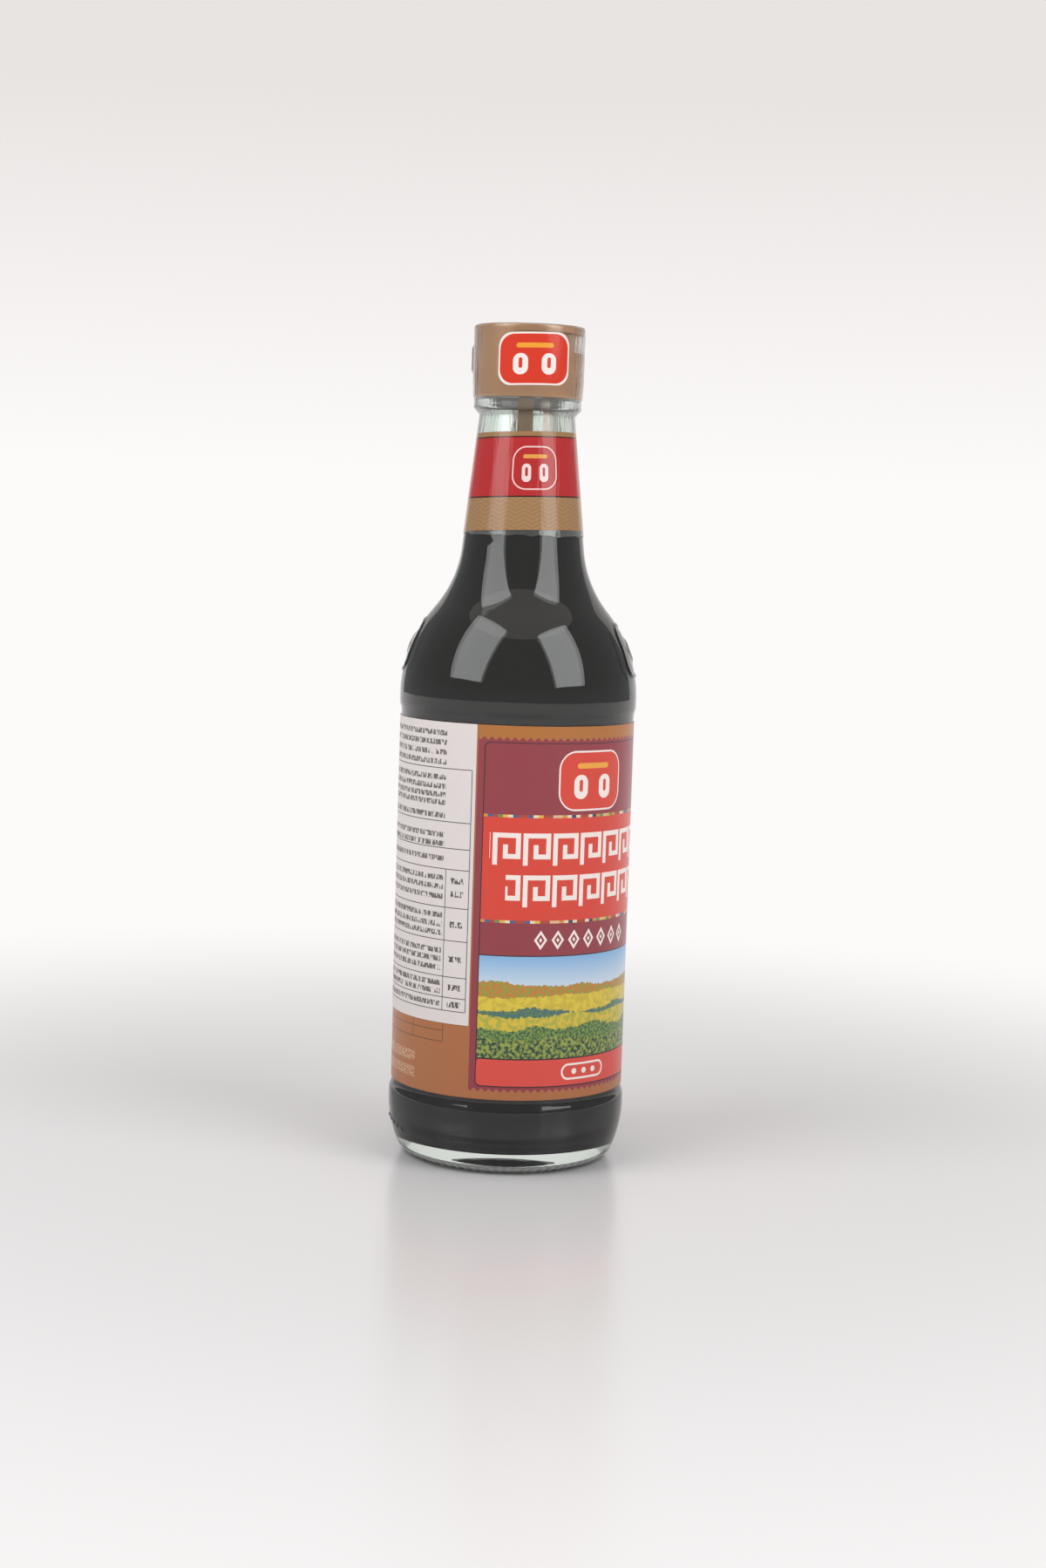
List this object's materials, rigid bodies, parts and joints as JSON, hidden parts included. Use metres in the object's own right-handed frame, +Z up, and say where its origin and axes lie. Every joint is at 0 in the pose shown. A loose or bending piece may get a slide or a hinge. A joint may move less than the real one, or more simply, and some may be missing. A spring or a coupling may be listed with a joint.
{
  "type": "soy sauce bottle",
  "caption": "Clear glass bottle of dark soy sauce with a long tapered neck, a two-part flip-top cap under shrink film, a wrap-around paper label and a sticker.",
  "frame": {"origin": "centre of the bearing ring, on the surface the bottle stands on", "axes": "+Z up along the bottle's axis, -Y out of the middle of the label's front panel, +X to the right of someone who looks at that panel"},
  "size_m": [0.0698, 0.0698, 0.2441],
  "materials": {
    "clear_glass": "clear",
    "soy_sauce": "liquid",
    "gold_plastic": "satin",
    "printed_film": "gloss",
    "label_paper": "satin",
    "sticker_paper": "matte"
  },
  "bodies": {
    "root": {"glass_bottle": "clear_glass", "soy_sauce": "soy_sauce", "cap_collar": "gold_plastic", "cap_lid": "gold_plastic", "shrink_film": "printed_film", "label": "label_paper", "sticker": "sticker_paper"}
  },
  "joints": []
}
